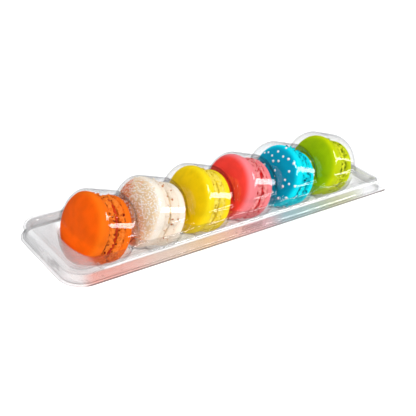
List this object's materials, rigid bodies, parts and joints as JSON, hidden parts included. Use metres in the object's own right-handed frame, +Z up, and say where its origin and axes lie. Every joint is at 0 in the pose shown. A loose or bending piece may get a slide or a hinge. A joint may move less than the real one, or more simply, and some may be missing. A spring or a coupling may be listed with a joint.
{
  "type": "clear macaron box",
  "caption": "Shut clear plastic press-on pack with a row of macarons standing on edge, each under its own leaning dome and over its own deep cell.",
  "frame": {"origin": "on the table under the middle of the pack, its small corner tab left out", "axes": "+X along the row, from the end whose macarons' faces look up and outwards to the far end with the corner tab; -Y towards the long side that carries the tab; +Z up"},
  "size_m": [0.2634, 0.0779, 0.0529],
  "materials": {
    "clear_lid_plastic": "gloss",
    "clear_tray_plastic": "gloss",
    "orange_crust": "matte",
    "orange_filling": "satin",
    "cream_crust": "matte",
    "cream_filling": "satin",
    "yellow_crust": "matte",
    "yellow_filling": "satin",
    "pink_crust": "matte",
    "pink_filling": "satin",
    "blue_crust": "matte",
    "blue_filling": "satin",
    "green_crust": "matte",
    "green_filling": "satin"
  },
  "bodies": {
    "root": {"lid": "clear_lid_plastic", "base_tray": "clear_tray_plastic", "orange_shell_near": "orange_crust", "orange_filling": "orange_filling", "orange_shell_far": "orange_crust", "cream_shell_near": "cream_crust", "cream_filling": "cream_filling", "cream_shell_far": "cream_crust", "yellow_shell_near": "yellow_crust", "yellow_filling": "yellow_filling", "yellow_shell_far": "yellow_crust", "pink_shell_near": "pink_crust", "pink_filling": "pink_filling", "pink_shell_far": "pink_crust", "blue_shell_near": "blue_crust", "blue_filling": "blue_filling", "blue_shell_far": "blue_crust", "green_shell_near": "green_crust", "green_filling": "green_filling", "green_shell_far": "green_crust"}
  },
  "joints": []
}
